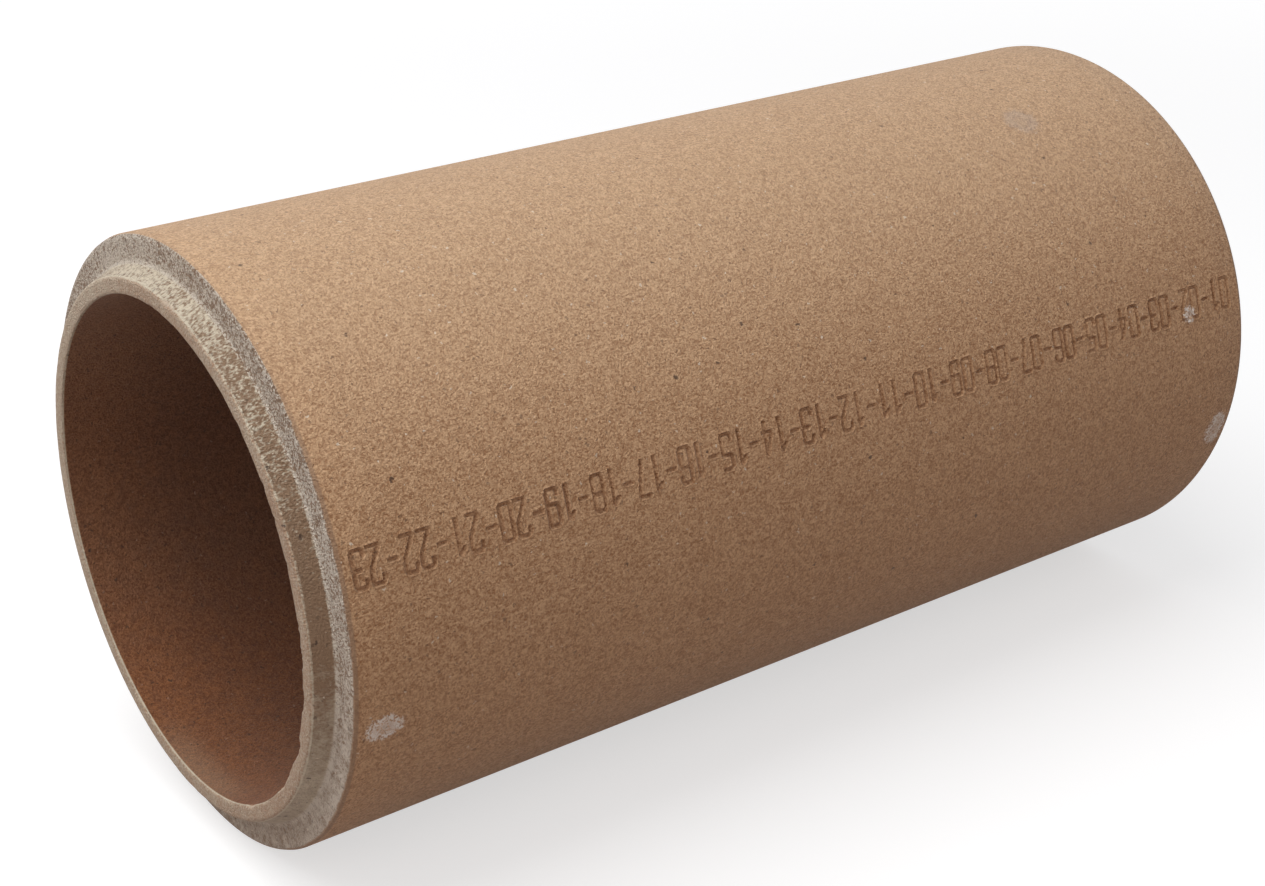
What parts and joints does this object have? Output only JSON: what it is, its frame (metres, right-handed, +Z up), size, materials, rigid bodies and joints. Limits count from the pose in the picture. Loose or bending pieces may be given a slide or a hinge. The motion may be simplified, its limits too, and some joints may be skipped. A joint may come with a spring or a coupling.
{
  "type": "chimney flue liner",
  "caption": "Round fired-clay chimney flue liner: straight barrel with a low conical spigot at one end and a matching socket at the other.",
  "frame": {"origin": "on the floor under the middle of the liner, which lies on its side with its axis 85 mm up", "axes": "X along the liner's axis from the spigot end to the socket end, Z up, Y across"},
  "size_m": [0.33, 0.17, 0.17],
  "materials": {
    "fired_chamotte": "matt fired chamotte with a fine open grain, unglazed"
  },
  "bodies": {
    "root": {"flue_liner": "fired_chamotte"}
  },
  "joints": []
}
